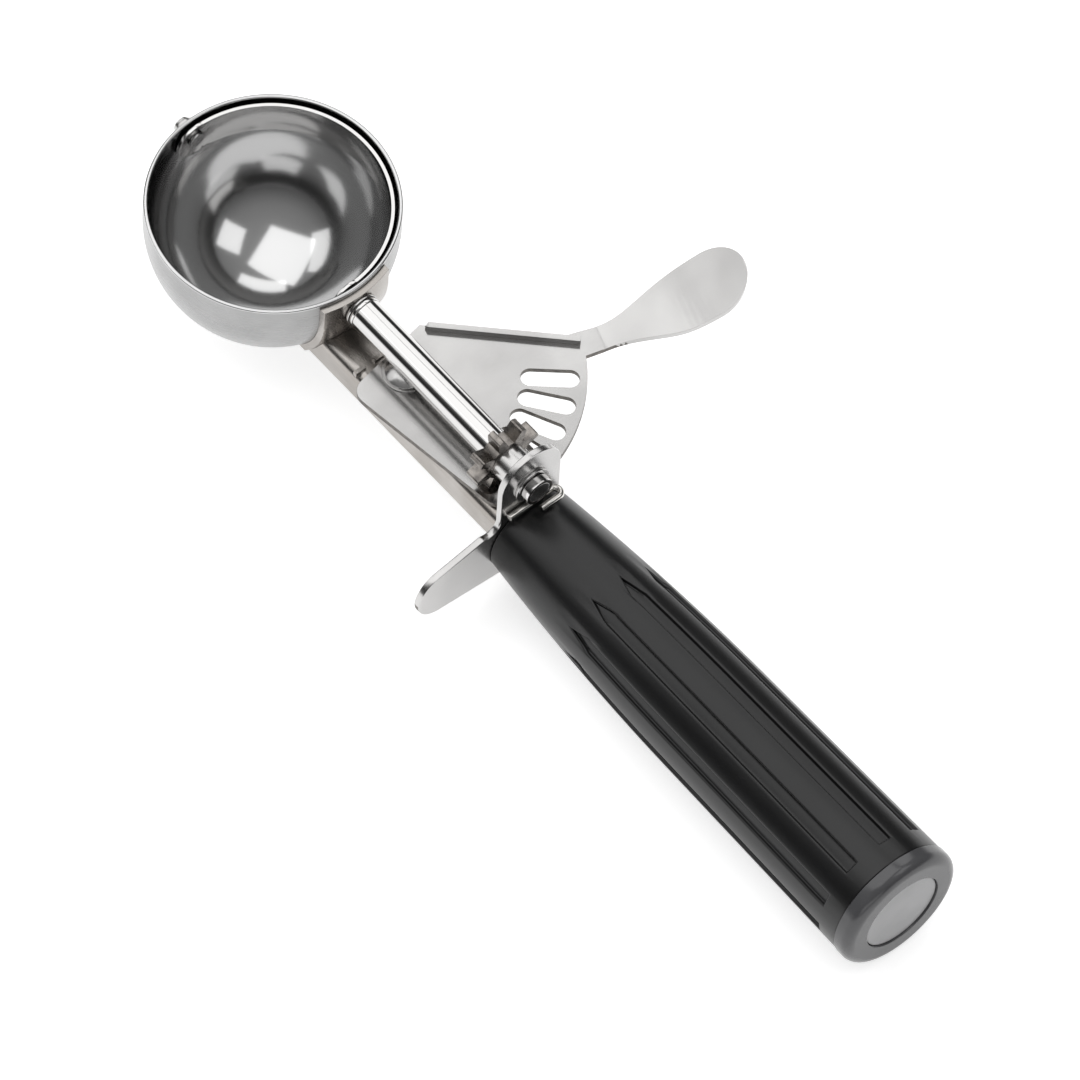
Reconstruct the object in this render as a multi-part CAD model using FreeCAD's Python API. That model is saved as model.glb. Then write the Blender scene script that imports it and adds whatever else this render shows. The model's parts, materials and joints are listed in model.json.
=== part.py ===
import FreeCAD, Part
import math
import os

# Lever ice cream scoop, in millimetres.
# The origin is the centre of the bowl's rim. +X runs back along the handle,
# +Y points to the thumb lever's side, +Z is up, out of the bowl's mouth.

# Bowl and scraper blade
BOWL_OD = 51.0
BOWL_WALL = 0.9
BLADE_AXIS_DEPTH = 5.3       # blade axis below the rim, the centre of the round bottom
BLADE_CLEAR = 0.3            # gap between the blade and the bowl's inside
BLADE_T = 0.7
BLADE_W = 8.6
BLADE_END_R = 4.6            # rounded ears of the blade, about its axis
RIM_ROUND = 0.3
MARGIN = 1.0                 # how far a cutter passes the face that it leaves

# Blade shaft, its sleeve and its bearings
SHAFT_D = 5.0
SPIGOT_D = 3.4               # shaft end that is riveted through the blade
RIVET_HEAD_D = 5.0
RIVET_HEAD_T = 0.8
RIVET_HEAD_ROUND = 0.45
PIN_D = 2.4
PIN_HEAD_D = 3.6
PIN_HEAD_T = 0.6
RUN_FIT = 0.05               # radial clearance of a turning fit
SEAT = 0.02                  # gap at a fixed seat
SLEEVE_D = 6.7
COLLAR_D = 7.1
COLLAR_T = 0.8
COLLAR_ROUND = 0.25
NEAR_BUSH_D = 6.4
NEAR_FLANGE_D = 7.4
NEAR_FLANGE_T = 0.6
FAR_BUSH_D = 4.6
FAR_BUSH_L = 1.9
AXIAL_PLAY = 0.2
END_NUT_D = 6.5
END_NUT_T = 1.8
EAR_BUSH_D = 6.4
EAR_FLANGE_D = 8.4
EAR_FLANGE_T = 0.6

# Saddle and stem
SADDLE_T = 1.4
SADDLE_W = 16.5
STEM_W = 15.0
STEM_H = 7.3
STEM_T = 1.2
STEM_CORNER_R = 2.4
STOP_TAB_W = 2.6
STOP_TAB_T = 0.9
STOP_TAB_H = 0.6
STOP_TAB_X = 34.2
STOP_TAB_Y = (-6.0, -1.2)

# Pinion and the lever plate's slots
PINION_TEETH = 8
PINION_TIP_R = 7.8
PINION_ROOT_R = 4.9
PINION_T = 3.4
PINION_INSET = 6.6           # pinion's middle inside the plate's outer arc
TOOTH_TIP_W = 1.5
TOOTH_ROOT_W = 2.6
TOOTH_TIP_ROUND = 0.45
TOOTH_LAP = 1.0              # root of a tooth runs this far into the wheel
HUB_D = 8.0
HUB_L = 4.0
HUB_ROUND = 0.5
RATIO = 4.0                  # blade turns for one turn of the lever
SLOT_FIRST_DEG = 3.5         # slot nearest the shaft with the lever at rest
SLOT_W = 4.0
SLOT_L = 11.7
SLOT_EDGE = 1.5              # web between a slot and the plate's outer arc
SHORT_SLOT_L = 6.4
SHORT_SLOT_EDGE = 3.2
LONG_SLOTS = 5

# Lever plate
PIVOT_X = 41.0
PLATE_T = 1.2
PLATE_TOP_DROP = 6.2         # plate's upper face below the shaft's axis
PLATE_ARC_R = 35.6
PLATE_NEAR_R = 10.8          # near edge runs this far from the pivot
PLATE_NEAR_DEG = 7.5
PLATE_FAR_R = 11.2
PLATE_FAR_DEG = 44.8
FRONT_EDGE_DROP = 5.2        # front edge's nearest distance from the pivot
FRONT_EDGE_DEG = 99.0
PLATE_CORNER_R = 3.4
FLANGE_H = 1.5
FLANGE_START = 0.8
FLANGE_STOP = 0.4
FLANGE_SLOPE = 0.9           # how far its front end leans back

# Thumb paddle
PADDLE_DEG = 71.5
PADDLE_ROOT_DEG = 62.77      # its root's bearing from the pivot
PADDLE_ROOT_OUT = 3.09       # its root lies this far outside the plate's arc
PADDLE_LENGTH = 30.5
PADDLE_LAP = 5.5             # root of the paddle runs this far into the plate
PADDLE_NECK_W = 5.8
PADDLE_W = 14.0
PADDLE_RISE = 11.0
PADDLE_TWIST_RISE = 2.6      # near edge stands this much higher at the tip
PADDLE_NECK_L = 4.0
PADDLE_WIDEN_X = 0.55        # share of the way to the tip's centre
PADDLE_WIDEN_Y = 0.80        # share of the half width that it has there
PADDLE_MID_X = 0.45          # a point on the bend, as a share of the length
PADDLE_MID_Z = 0.26          # and of the rise
PADDLE_OVERRUN = 1.05        # sheet is drawn this much longer than its outline

# Pivot
RIVET_SHANK_D = 5.0
RIVET_DOME_D = 8.3
RIVET_DOME_H = 1.6
RIVET_TAIL_D = 7.6
RIVET_TAIL_T = 1.0
PIVOT_WASHER_D = 9.6
PIVOT_WASHER_T = 0.8
HUB_WASHER_D = 9.4
HUB_WASHER_T = 0.4

# Return spring under the pivot
SPRING_WIRE_D = 1.0
SPRING_R = 4.3
SPRING_PITCH = 1.5
SPRING_TURNS = 3
SPRING_LEG = 8.0
SPRING_HOOK_REACH = 3.4
SPRING_BEND_R = 1.5
SPRING_DROP = 0.3            # first turn hangs this far under the stem's top
WINDOW_PLAY = 0.3            # room on each side of the hook in its window
HOOK_HOLE_PLAY = 0.2
WINDOW_END_DEG = 9.0         # room at each end of the hook's window

# Finger guard
GUARD_GAP = 0.7              # front face outside the lever plate's arc
GUARD_T = 1.5
EAR_R = 7.5
EAR_RISE = 2.3               # centre of the ear's round top above the shaft's axis
GUARD_ARM_TOP = (-23.0, -17.2)
GUARD_ARM_END = (-27.6, -21.4)
GUARD_ARM_LOW = (-22.6, -29.4)
GUARD_NECK_Z = -12.6
GUARD_NECK_R = 4.0
GUARD_ELBOW = (0.25, 0.55)   # a point on the neck's curve, as shares of its radius
GUARD_SHOULDER_DROP = 0.60
GUARD_FOOT = (0.70, 0.98)    # low left corner, as shares of the grip's front radius
GUARD_TOE = (0.72, 0.68)     # low right curve: share of the ear's radius, of the grip's
GUARD_RIGHT_RISE = 0.20

# Handle
GRIP_TOP_DROP = 6.7          # top of the grip's front edge below the shaft's axis
HANDLE_END_X = 191.3
HANDLE_FRONT_R = 9.8
HANDLE_MID_X = 134.0
HANDLE_MID_R = 13.2
SWELL_X = 0.48               # a point on the swell, as a share of the run to the middle
SWELL_R = 0.66               # and of the gain in radius
GRIP_FRONT_ROUND = 1.2
HANDLE_REAR_R = 14.0
CAP_L = 3.9
CAP_R = 14.2
CAP_EDGE_R = 2.2
CAP_SPIGOT_R = 9.0
CAP_SPIGOT_L = 9.0
DISC_R = 8.9
DISC_T = 0.8
DISC_SINK = 0.4
DISC_ROUND = 0.3
TANG_W = 8.0
TANG_H = 6.0
TANG_IN_STEM = 20.4          # length of the tang in front of the guard
TANG_END_X = 150.0
TANG_END_ROUND = 1.0
TANG_RIVET_D = 3.0
TANG_RIVET_HEAD_D = 5.0
TANG_RIVET_HEAD_T = 0.7
TANG_RIVET_BACK = (17.0, 10.5)   # in front of the guard
FLUTES = 10
FLUTE_PHASE_DEG = 27.0
FLUTE_W = 2.8
FLUTE_DEPTH = 0.9
FLUTE_FRONT = 25.2           # plain front end of the grip, before the flutes' points
FLUTE_POINT_L = 5.0
FLUTE_REAR = 4.9

# Wire clip behind the ear: a long leg on the guard's back, a round bend and a short leg
CLIP_WIRE_D = 1.5
CLIP_LIFT = 1.1              # wire's axis above the grip's front edge
CLIP_LONG_Y = -6.1
CLIP_SHORT_Y = 0.2
CLIP_BEND_Y = 4.6
CLIP_BEND_R = 1.15

# Derived places
BOWL_R = BOWL_OD / 2
BOWL_RI = BOWL_R - BOWL_WALL
AXIS_Z = -BLADE_AXIS_DEPTH
PINION_X = PIVOT_X + PLATE_ARC_R - PINION_INSET
GUARD_X = PIVOT_X + PLATE_ARC_R + GUARD_GAP
BLADE_RO = BOWL_RI - BLADE_CLEAR
BLADE_RI = BLADE_RO - BLADE_T
PLATE_TOP_Z = AXIS_Z - PLATE_TOP_DROP
PLATE_LOW_Z = PLATE_TOP_Z - PLATE_T
STEM_TOP_Z = PLATE_LOW_Z - PIVOT_WASHER_T
STEM_LOW_Z = STEM_TOP_Z - STEM_H
SADDLE_R = BOWL_R + SADDLE_T
GUARD_BACK_X = GUARD_X + GUARD_T
HANDLE_FRONT_X = GUARD_BACK_X + SEAT
HANDLE_AXIS_Z = AXIS_Z - GRIP_TOP_DROP - HANDLE_FRONT_R
CAP_X = HANDLE_END_X - CAP_L
TANG_START_X = GUARD_X - TANG_IN_STEM
TANG_RIVET_X = [GUARD_X - back for back in TANG_RIVET_BACK]
TANG_TOP_Z = STEM_TOP_Z - STEM_T
TANG_LOW_Z = TANG_TOP_Z - TANG_H
SLEEVE_START_X = SADDLE_R + NEAR_FLANGE_T + AXIAL_PLAY + COLLAR_T
PINION_FRONT_X = PINION_X - PINION_T / 2
PINION_BACK_X = PINION_X + PINION_T / 2
EAR_NUT_X = GUARD_BACK_X + EAR_FLANGE_T + AXIAL_PLAY
SHAFT_END_X = EAR_NUT_X + END_NUT_T
SLOT_PITCH_DEG = 360.0 / PINION_TEETH / RATIO
SLOT_OUT_R = PLATE_ARC_R - SLOT_EDGE
SHORT_SLOT_OUT_R = PLATE_ARC_R - SHORT_SLOT_EDGE
FLUTE_START_X = HANDLE_FRONT_X + FLUTE_FRONT
FLUTE_END_X = CAP_X - FLUTE_REAR
CLIP_X = GUARD_BACK_X + SEAT + CLIP_WIRE_D / 2
CLIP_Z = HANDLE_AXIS_Z + HANDLE_FRONT_R + CLIP_LIFT
TOOTH_PHASE_DEG = SLOT_FIRST_DEG * RATIO
FAR = 2 * HANDLE_END_X       # longer than anything that it cuts

V = FreeCAD.Vector
X_DIR = V(1, 0, 0)
Z_DIR = V(0, 0, 1)
AXIS_POINT = V(0, 0, AXIS_Z)
PIVOT = V(PIVOT_X, 0, 0)


def polar(radius, degrees):
    """A point at this distance and bearing from the origin, in plan."""
    a = math.radians(degrees)
    return V(radius * math.cos(a), radius * math.sin(a), 0)


def rod_x(x0, x1, diameter, y=0.0, z=AXIS_Z):
    """A round bar along X."""
    return Part.makeCylinder(diameter / 2, x1 - x0, V(x0, y, z), X_DIR)


def rod_z(z0, z1, diameter, x=PIVOT_X, y=0.0):
    """A round bar along Z."""
    return Part.makeCylinder(diameter / 2, z1 - z0, V(x, y, z0), Z_DIR)


def block(x0, x1, y0, y1, z0, z1):
    """A block between two corners."""
    return Part.makeBox(x1 - x0, y1 - y0, z1 - z0, V(x0, y0, z0))


def closed(points):
    """A closed outline of straight edges."""
    return Part.Wire(Part.makePolygon(points + [points[0]]).Edges)


def arc(a, b, c):
    """An arc edge through three points."""
    return Part.Arc(a, b, c).toShape()


def line(a, b):
    """A straight edge."""
    return Part.LineSegment(a, b).toShape()


def filleted(shape, radius, wanted):
    """Round the edges that a test picks."""
    edges = [e for e in shape.Edges if wanted(e)]
    return shape.makeFillet(radius, edges)


def cup(radius, top=0.0):
    """A solid cup: a half ball under the blade axis and a straight wall above it."""
    ball = Part.makeSphere(radius, AXIS_POINT)
    low = ball.common(block(-FAR, FAR, -FAR, FAR, AXIS_Z - FAR, AXIS_Z))
    wall = Part.makeCylinder(radius, top - AXIS_Z, AXIS_POINT, Z_DIR)
    return low.fuse(wall).removeSplitter()


def make_bowl():
    """Pressed sheet bowl with a bored boss hole on each side of the blade axis."""
    bowl = cup(BOWL_R).cut(cup(BOWL_RI, top=MARGIN))
    bowl = filleted(bowl, RIM_ROUND, lambda e: e.BoundBox.ZMin > -0.01)
    bowl = bowl.cut(rod_x(0, FAR, NEAR_BUSH_D + 2 * SEAT))
    return bowl.cut(rod_x(-FAR, 0, PIN_D + 2 * RUN_FIT))


def make_saddle():
    """Curved plate on the bowl's back that carries the stem and the shaft's bush."""
    shell = cup(SADDLE_R).cut(cup(BOWL_R + SEAT, top=MARGIN))
    half = SADDLE_W / 2
    strip = shell.common(block(0, FAR, -half, half, STEM_LOW_Z, -BOWL_WALL))
    return strip.cut(rod_x(0, FAR, NEAR_BUSH_D + 2 * SEAT))


def make_near_bush():
    """Flanged bearing bush where the shaft enters the bowl."""
    flange_x = SADDLE_R + SEAT
    body = rod_x(0, flange_x, NEAR_BUSH_D).cut(cup(BOWL_RI, top=MARGIN))
    flange = rod_x(flange_x, flange_x + NEAR_FLANGE_T, NEAR_FLANGE_D)
    return body.fuse(flange).removeSplitter().cut(rod_x(0, FAR, SHAFT_D + 2 * RUN_FIT))


def make_far_bush():
    """Plain boss outside the bowl that the far pin turns in."""
    boss = rod_x(-BOWL_R - FAR_BUSH_L, 0, FAR_BUSH_D)
    boss = boss.cut(cup(BOWL_R + SEAT, top=MARGIN))
    return boss.cut(rod_x(-FAR, 0, PIN_D + 2 * RUN_FIT))


def make_blade():
    """Curved scraper strip that lies against the bowl's wall under the rim."""
    shell = Part.makeSphere(BLADE_RO, AXIS_POINT).cut(Part.makeSphere(BLADE_RI, AXIS_POINT))
    half = BLADE_W / 2
    strip = shell.common(block(-FAR, FAR, 0, FAR, AXIS_Z - half, AXIS_Z + half))
    ears = shell.common(rod_x(-FAR, FAR, 2 * BLADE_END_R))
    blade = strip.fuse(ears).removeSplitter()
    blade = blade.cut(rod_x(0, FAR, SPIGOT_D + 2 * SEAT))
    return blade.cut(rod_x(-FAR, 0, PIN_D + 2 * SEAT))


def ear_face_x(radius, ball):
    """Distance from the centre to a ball's surface at this distance off the axis."""
    return math.sqrt(ball ** 2 - radius ** 2)


def make_shaft():
    """Blade shaft: spigot and rivet head inside the bowl, plain rod to the ear."""
    inner_x = ear_face_x(RIVET_HEAD_D / 2, BLADE_RI) - SEAT
    shoulder_x = BLADE_RO + SEAT
    head = rod_x(inner_x - RIVET_HEAD_T, inner_x, RIVET_HEAD_D)
    head = filleted(head, RIVET_HEAD_ROUND, lambda e: e.BoundBox.XMax < inner_x - 0.01
                    and e.BoundBox.XLength < 0.01)
    spigot = rod_x(inner_x, shoulder_x, SPIGOT_D)
    rod = rod_x(shoulder_x, SHAFT_END_X, SHAFT_D)
    return head.fuse([spigot, rod]).removeSplitter()


def make_far_pin():
    """Headed pin that hinges the blade's far ear in the bowl's wall."""
    inner_x = -ear_face_x(PIN_HEAD_D / 2, BLADE_RI) + SEAT
    outer_x = -BOWL_R - FAR_BUSH_L - AXIAL_PLAY
    shank = rod_x(outer_x, inner_x, PIN_D)
    inside = rod_x(inner_x, inner_x + PIN_HEAD_T, PIN_HEAD_D)
    outside = rod_x(outer_x - PIN_HEAD_T, outer_x, PIN_HEAD_D)
    return shank.fuse([inside, outside]).removeSplitter()


def make_sleeve():
    """Polished tube over the shaft, from the bowl's collar to the pinion."""
    tube = rod_x(SLEEVE_START_X, PINION_FRONT_X, SLEEVE_D)
    return tube.cut(rod_x(0, FAR, SHAFT_D + 2 * SEAT))


def make_collar():
    """Small thrust collar between the near bush and the sleeve."""
    ring = rod_x(SLEEVE_START_X - COLLAR_T, SLEEVE_START_X, COLLAR_D)
    ring = filleted(ring, COLLAR_ROUND, lambda e: e.BoundBox.XLength < 0.01)
    return ring.cut(rod_x(0, FAR, SHAFT_D + 2 * SEAT))


def make_pinion():
    """Stamped eight-tooth wheel whose teeth drop through the lever plate's slots."""
    wheel = rod_x(PINION_FRONT_X, PINION_BACK_X, 2 * PINION_ROOT_R)
    root = PINION_ROOT_R - TOOTH_LAP
    section = [
        V(PINION_FRONT_X, -TOOTH_ROOT_W / 2, -root),
        V(PINION_FRONT_X, TOOTH_ROOT_W / 2, -root),
        V(PINION_FRONT_X, TOOTH_TIP_W / 2, -PINION_TIP_R),
        V(PINION_FRONT_X, -TOOTH_TIP_W / 2, -PINION_TIP_R),
    ]
    tooth = Part.Face(closed(section)).extrude(V(PINION_T, 0, 0))
    tooth = filleted(tooth, TOOTH_TIP_ROUND, lambda e: e.BoundBox.ZMax < -PINION_TIP_R + 0.01
                     and e.BoundBox.YLength < 0.01)
    teeth = []
    for k in range(PINION_TEETH):
        copy = tooth.copy()
        copy.rotate(V(0, 0, 0), X_DIR, TOOTH_PHASE_DEG + k * 360.0 / PINION_TEETH)
        copy.translate(AXIS_POINT)
        teeth.append(copy)
    wheel = wheel.fuse(teeth).removeSplitter()
    return wheel.cut(rod_x(0, FAR, SHAFT_D + 2 * SEAT))


def make_pinion_hub():
    """Pressed hub behind the pinion."""
    hub = rod_x(PINION_BACK_X, PINION_BACK_X + HUB_L, HUB_D)
    hub = filleted(hub, HUB_ROUND, lambda e: e.BoundBox.XMin > PINION_BACK_X + HUB_ROUND
                   and e.BoundBox.XLength < 0.01)
    return hub.cut(rod_x(0, FAR, SHAFT_D + 2 * SEAT))


def make_end_nut():
    """Cap pressed on the shaft's end, behind the ear."""
    nut = rod_x(EAR_NUT_X, SHAFT_END_X, END_NUT_D)
    return nut.cut(rod_x(0, FAR, SHAFT_D + 2 * SEAT))


def channel(x0, x1, lower):
    """Inverted U channel with round shoulders, open below."""
    outer = block(x0, x1, -STEM_W / 2, STEM_W / 2, lower, STEM_TOP_Z)
    outer = filleted(outer, STEM_CORNER_R, lambda e: e.BoundBox.ZMin > STEM_TOP_Z - 0.01
                     and e.BoundBox.XLength > MARGIN)
    half = STEM_W / 2 - STEM_T
    inner = block(x0 - MARGIN, x1 + MARGIN, -half, half, lower - MARGIN, STEM_TOP_Z - STEM_T)
    inner = filleted(inner, STEM_CORNER_R - STEM_T, lambda e: e.BoundBox.XLength > MARGIN
                     and e.BoundBox.ZMin > STEM_TOP_Z - STEM_T - 0.01)
    return outer.cut(inner)


def make_stem():
    """Stem between the saddle and the finger guard, with two low locating tabs."""
    stem = channel(0, GUARD_X - SEAT, STEM_LOW_Z)
    stem = stem.cut(cup(SADDLE_R + SEAT, top=MARGIN))
    for y in STOP_TAB_Y:
        tab = block(STOP_TAB_X - STOP_TAB_T / 2, STOP_TAB_X + STOP_TAB_T / 2,
                    y - STOP_TAB_W / 2, y + STOP_TAB_W / 2,
                    STEM_TOP_Z - STEM_T / 2, STEM_TOP_Z + STOP_TAB_H)
        stem = stem.fuse(tab)
    stem = stem.cut(rod_z(STEM_LOW_Z, 0, RIVET_SHANK_D + 2 * SEAT))
    for x in TANG_RIVET_X:
        stem = stem.cut(rod_z(STEM_LOW_Z, 0, TANG_RIVET_D + 2 * SEAT, x))
    return stem.cut(spring_window()).removeSplitter()


def hook_bearing():
    """Bearing of the spring's upright hook from the pivot, with the lever at rest."""
    return 180.0 - math.degrees(math.atan2(SPRING_R, SPRING_HOOK_REACH))


def hook_radius():
    """Distance of the spring's upright hook from the pivot."""
    return math.hypot(SPRING_R, SPRING_HOOK_REACH)


def spring_window():
    """Curved window in the stem's top that the spring's hook travels in."""
    travel = 180.0 / RATIO
    wide = SPRING_WIRE_D + 2 * WINDOW_PLAY
    ring = rod_z(STEM_LOW_Z, 0, 2 * hook_radius() + wide)
    ring = ring.cut(rod_z(STEM_LOW_Z, 0, 2 * hook_radius() - wide))
    start = hook_bearing() + WINDOW_END_DEG
    reach = 3 * hook_radius()
    corner = [PIVOT, PIVOT + polar(reach, start), PIVOT + polar(reach, start - travel / 2),
              PIVOT + polar(reach, start - travel - 2 * WINDOW_END_DEG)]
    wedge = Part.Face(closed([p + V(0, 0, STEM_LOW_Z) for p in corner])).extrude(V(0, 0, FAR))
    return ring.common(wedge)


def plate_outline():
    """Corners of the lever plate in plan, and the middle of its outer arc."""
    near = V(math.cos(math.radians(PLATE_NEAR_DEG)), math.sin(math.radians(PLATE_NEAR_DEG)), 0)
    far = V(math.cos(math.radians(PLATE_FAR_DEG)), math.sin(math.radians(PLATE_FAR_DEG)), 0)
    near_foot = PIVOT + V(near.y, -near.x, 0) * PLATE_NEAR_R
    far_foot = PIVOT + V(-far.y, far.x, 0) * PLATE_FAR_R
    near_run = math.sqrt(PLATE_ARC_R ** 2 - PLATE_NEAR_R ** 2)
    far_run = math.sqrt(PLATE_ARC_R ** 2 - PLATE_FAR_R ** 2)
    near_out = near_foot + near * near_run
    far_out = far_foot + far * far_run
    mid = PIVOT + polar(PLATE_ARC_R, (PLATE_NEAR_DEG + PLATE_FAR_DEG) / 2)
    front = polar(1.0, FRONT_EDGE_DEG)
    front_foot = PIVOT + polar(FRONT_EDGE_DROP, FRONT_EDGE_DEG + 90.0)
    near_in = crossing(front_foot, front, near_foot, near)
    far_in = crossing(front_foot, front, far_foot, far)
    return near_in, near_out, mid, far_out, far_in, far


def crossing(p, d, q, e):
    """Where two lines in plan cross."""
    det = d.x * -e.y + e.x * d.y
    t = ((q.x - p.x) * -e.y + e.x * (q.y - p.y)) / det
    return p + d * t


def slot(inner, outer, bearing):
    """A radial slot with round ends, cut through the plate."""
    half = SLOT_W / 2
    low = PLATE_LOW_Z - MARGIN
    tall = PLATE_T + 2 * MARGIN
    mid = Part.makeBox(outer - inner - SLOT_W, SLOT_W, tall, V(inner + half, -half, low))
    ends = [Part.makeCylinder(half, tall, V(r, 0, low), Z_DIR) for r in (inner + half, outer - half)]
    cutter = mid.fuse(ends)
    cutter.rotate(V(0, 0, 0), Z_DIR, bearing)
    cutter.translate(PIVOT)
    return cutter


def paddle_profile(across, extra):
    """Side outline of the rising thumb paddle at one distance across it."""
    rise = PADDLE_RISE + extra
    start = V(-PADDLE_LAP - MARGIN, across, 0)
    knee = V(0, across, 0)
    slope = rise / PADDLE_LENGTH
    mid = V(PADDLE_LENGTH * PADDLE_MID_X, across, rise * PADDLE_MID_Z)
    tip = V(PADDLE_LENGTH * PADDLE_OVERRUN, across, rise)
    lift = V(-slope / 2 * PLATE_T / 2, 0, PLATE_T)
    top = [start + V(0, 0, PLATE_T), knee + V(0, 0, PLATE_T), mid + lift, tip + lift]
    edges = [
        line(start, knee),
        arc(knee, mid, tip),
        line(tip, top[3]),
        arc(top[3], top[2], top[1]),
        line(top[1], top[0]),
        line(top[0], start),
    ]
    return Part.Wire(edges)


def make_paddle():
    """Thumb paddle: a sheet that rises from the plate, twists and widens to a round tip."""
    reach = PADDLE_W
    sheet = Part.makeLoft([paddle_profile(-reach, 0.0), paddle_profile(reach, PADDLE_TWIST_RISE)],
                          True, True)
    neck = PADDLE_NECK_W / 2
    wide = PADDLE_W / 2
    tip_c = PADDLE_LENGTH - wide
    low = -PADDLE_RISE
    points = [V(-PADDLE_LAP, -neck, low), V(PADDLE_NECK_L, -neck, low),
              V(tip_c * PADDLE_WIDEN_X, -wide * PADDLE_WIDEN_Y, low), V(tip_c, -wide, low)]
    side = Part.BSplineCurve()
    side.interpolate(points, InitialTangent=V(1, 0, 0), FinalTangent=V(1, 0, 0))
    other = Part.BSplineCurve()
    back = [V(p.x, -p.y, low) for p in reversed(points)]
    other.interpolate(back, InitialTangent=V(-1, 0, 0), FinalTangent=V(-1, 0, 0))
    outline = Part.Wire([
        side.toShape(),
        arc(points[-1], V(PADDLE_LENGTH, 0, low), back[0]),
        other.toShape(),
        line(back[-1], points[0]),
    ])
    paddle = sheet.common(Part.Face(outline).extrude(V(0, 0, FAR)))
    paddle.rotate(V(0, 0, 0), Z_DIR, PADDLE_DEG)
    root = polar(PLATE_ARC_R + PADDLE_ROOT_OUT, PADDLE_ROOT_DEG)
    paddle.translate(PIVOT + root + V(0, 0, PLATE_LOW_Z))
    return paddle


def make_lever():
    """Lever plate with its slots, bent-up far edge and thumb paddle, cut from one sheet."""
    near_in, near_out, mid, far_out, far_in, far = plate_outline()
    outline = Part.Wire([
        line(near_in, near_out),
        arc(near_out, mid, far_out),
        line(far_out, far_in),
        line(far_in, near_in),
    ])
    plate = Part.Face(outline).extrude(V(0, 0, PLATE_T))
    plate.translate(V(0, 0, PLATE_LOW_Z))
    corner = near_in + V(0, 0, PLATE_LOW_Z)
    plate = filleted(plate, PLATE_CORNER_R, lambda e: e.BoundBox.DiagonalLength < PLATE_T + 0.01
                     and e.BoundBox.Center.distanceToPoint(corner) < PLATE_T)
    outer = near_out + V(0, 0, PLATE_LOW_Z)
    plate = filleted(plate, PLATE_CORNER_R, lambda e: e.BoundBox.DiagonalLength < PLATE_T + 0.01
                     and e.BoundBox.Center.distanceToPoint(outer) < PLATE_T)
    inward = V(far.y, -far.x, 0) * PLATE_T
    start = far_in + far * FLANGE_START
    stop = far_in + far * (far_in.distanceToPoint(far_out) - FLANGE_STOP)
    top_start = far_in + far * (FLANGE_START + FLANGE_SLOPE)
    base = [p + V(0, 0, PLATE_LOW_Z) for p in (start, stop)]
    tall = PLATE_T + FLANGE_H
    side = [base[0], base[1], base[1] + V(0, 0, tall), top_start + V(0, 0, PLATE_LOW_Z + tall)]
    flange = Part.Face(closed(side)).extrude(inward)
    lever = plate.fuse([flange, make_paddle()]).removeSplitter()
    lever = lever.cut(slot(SHORT_SLOT_OUT_R - SHORT_SLOT_L, SHORT_SLOT_OUT_R,
                           SLOT_FIRST_DEG - SLOT_PITCH_DEG))
    for k in range(LONG_SLOTS):
        lever = lever.cut(slot(SLOT_OUT_R - SLOT_L, SLOT_OUT_R, SLOT_FIRST_DEG + k * SLOT_PITCH_DEG))
    lever = lever.cut(rod_z(STEM_LOW_Z, 0, RIVET_SHANK_D + 2 * RUN_FIT))
    hook = PIVOT + polar(hook_radius(), hook_bearing())
    return lever.cut(rod_z(STEM_LOW_Z, 0, SPRING_WIRE_D + 2 * HOOK_HOLE_PLAY, hook.x, hook.y))


def make_rivet():
    """Domed pivot rivet through the lever plate and the stem's top."""
    dome_z = PLATE_TOP_Z + HUB_WASHER_T + SEAT
    radius = (RIVET_DOME_D ** 2 / 4 + RIVET_DOME_H ** 2) / (2 * RIVET_DOME_H)
    ball = Part.makeSphere(radius, V(PIVOT_X, 0, dome_z + RIVET_DOME_H - radius))
    dome = ball.common(rod_z(dome_z, dome_z + RIVET_DOME_H + MARGIN, RIVET_DOME_D + MARGIN))
    tail_z = STEM_LOW_Z + RIVET_TAIL_T
    shank = rod_z(tail_z, dome_z, RIVET_SHANK_D)
    tail = rod_z(tail_z - RIVET_TAIL_T, tail_z, RIVET_TAIL_D)
    return dome.fuse([shank, tail]).removeSplitter()


def washer(low, thickness, diameter, bore):
    """A flat washer round the pivot."""
    return rod_z(low, low + thickness, diameter).cut(rod_z(low - MARGIN, low + thickness + MARGIN, bore))


def tangent_arc(a, corner, b):
    """Arc that leaves a towards the corner and comes into b from it."""
    middle = (a + b) * 0.5
    half = a.distanceToPoint(b) / 2
    out = corner - middle
    turn = 2 * math.atan2(out.Length, half)
    return arc(a, middle + out.normalize() * (half * math.tan(turn / 4)), b)


def biarc(p, p_way, q, q_way):
    """Two tangent arcs between two points with given directions."""
    span = q - p
    both = p_way + q_way
    bend = 2 * (1 - p_way.dot(q_way))
    along = span.dot(both)
    reach = (-along + math.sqrt(along ** 2 + bend * span.dot(span))) / bend
    first = p + p_way * reach
    second = q - q_way * reach
    meet = (first + second) * 0.5
    return [tangent_arc(p, first, meet), tangent_arc(meet, second, q)]


def coil_point(quarter, top_z):
    """Point and direction on the coil after this many quarter turns."""
    a = math.radians(90.0 * (1 - quarter))
    slope = SPRING_PITCH / (2 * math.pi * SPRING_R)
    place = PIVOT + V(SPRING_R * math.cos(a), SPRING_R * math.sin(a),
                      top_z - quarter * SPRING_PITCH / 4)
    way = V(math.sin(a), -math.cos(a), -slope)
    return place, way.normalize()


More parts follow.
